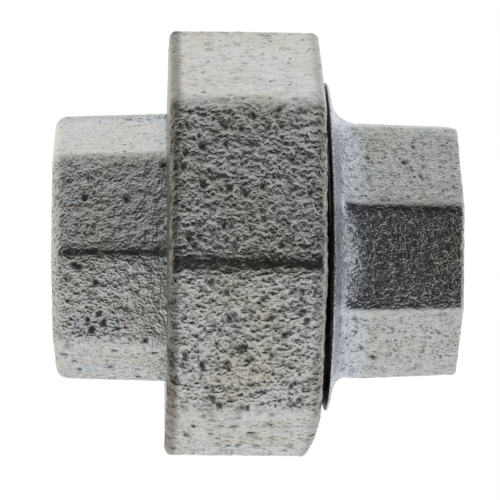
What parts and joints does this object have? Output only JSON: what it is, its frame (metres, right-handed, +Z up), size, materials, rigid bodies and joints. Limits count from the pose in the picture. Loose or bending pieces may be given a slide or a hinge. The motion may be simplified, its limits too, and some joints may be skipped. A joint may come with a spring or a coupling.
{
  "type": "pipe union",
  "caption": "Galvanised pipe union: octagonal nut joins a tail with a ground nose to a flanged, threaded head with a bronze seat; female pipe thread at each end.",
  "frame": {"origin": "on the pipe axis, at the middle of the length", "axes": "+X along the pipe axis out of the head piece, +Z up with the nut standing on one flat, tail at -X"},
  "size_m": [0.048, 0.0478, 0.0478],
  "materials": {
    "tail_casting": "hot-dip galvanised sand casting",
    "nut_casting": "hot-dip galvanised sand casting",
    "head_casting": "hot-dip galvanised sand casting",
    "seat_bronze": "turned bronze"
  },
  "bodies": {
    "tail": {"tail_piece": "tail_casting"},
    "nut": {"union_nut": "nut_casting"},
    "head": {"head_piece": "head_casting", "seat_ring": "seat_bronze"}
  },
  "joints": [
    {"name": "nut_turn", "type": "hinge", "parent": "tail", "child": "nut", "pos_m": [-0.00159, 0, 0], "axis": [-1, 0, 0], "range_deg": [0, 1800]},
    {"name": "head_part", "type": "slide", "parent": "tail", "child": "head", "axis": [1, 0, 0], "range_m": [0, 0.01]}
  ],
  "couplings": [
    {"joint": "head_part", "follows": "nut_turn", "m_per_rad": 0.00031831}
  ]
}
